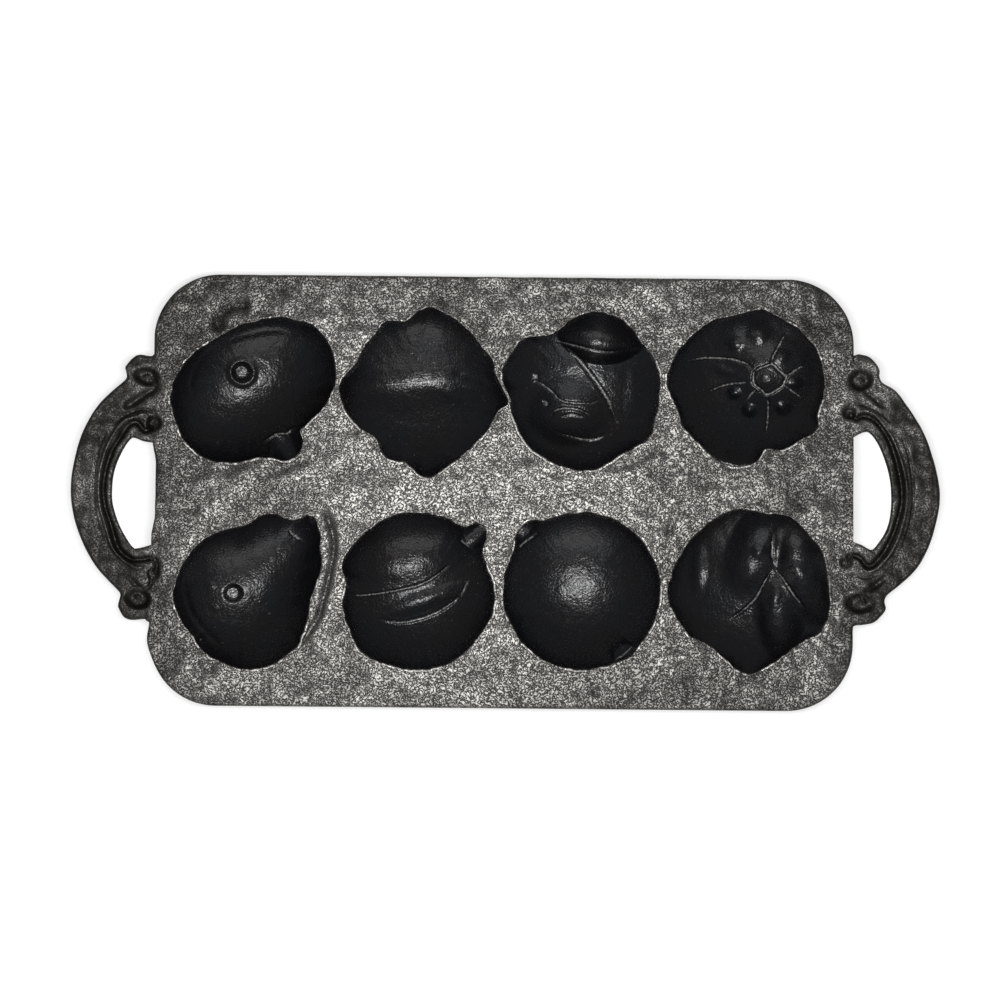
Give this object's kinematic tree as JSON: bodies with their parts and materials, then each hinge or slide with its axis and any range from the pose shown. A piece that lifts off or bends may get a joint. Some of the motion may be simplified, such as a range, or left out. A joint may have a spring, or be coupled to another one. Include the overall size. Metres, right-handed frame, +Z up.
{
  "type": "cornbread pan",
  "caption": "Flat cast iron baking pan with hollow cups shaped as fruits and vegetables, and a scrolled loop handle at each end.",
  "frame": {"origin": "middle of the pan's outline, level with the flats that the cups stand on", "axes": "+X along the pan towards the right handle, +Y towards the back row of cups, +Z up out of the cups"},
  "size_m": [0.381, 0.19, 0.026],
  "materials": {
    "bare_plate": "rough as-cast grey iron, worn pale on the raised grain",
    "seasoned_cup": "smooth cast iron seasoned near black, with a soft gloss",
    "bare_handle": "fine as-cast grey iron, darker in the sunk scrolls"
  },
  "bodies": {
    "root": {"top_plate": "bare_plate", "orange_cup": "seasoned_cup", "acorn_squash_cup": "seasoned_cup", "cabbage_cup": "seasoned_cup", "pumpkin_cup": "seasoned_cup", "pear_cup": "seasoned_cup", "melon_cup": "seasoned_cup", "apple_cup": "seasoned_cup", "pepper_cup": "seasoned_cup", "left_handle": "bare_handle", "right_handle": "bare_handle"}
  },
  "joints": []
}
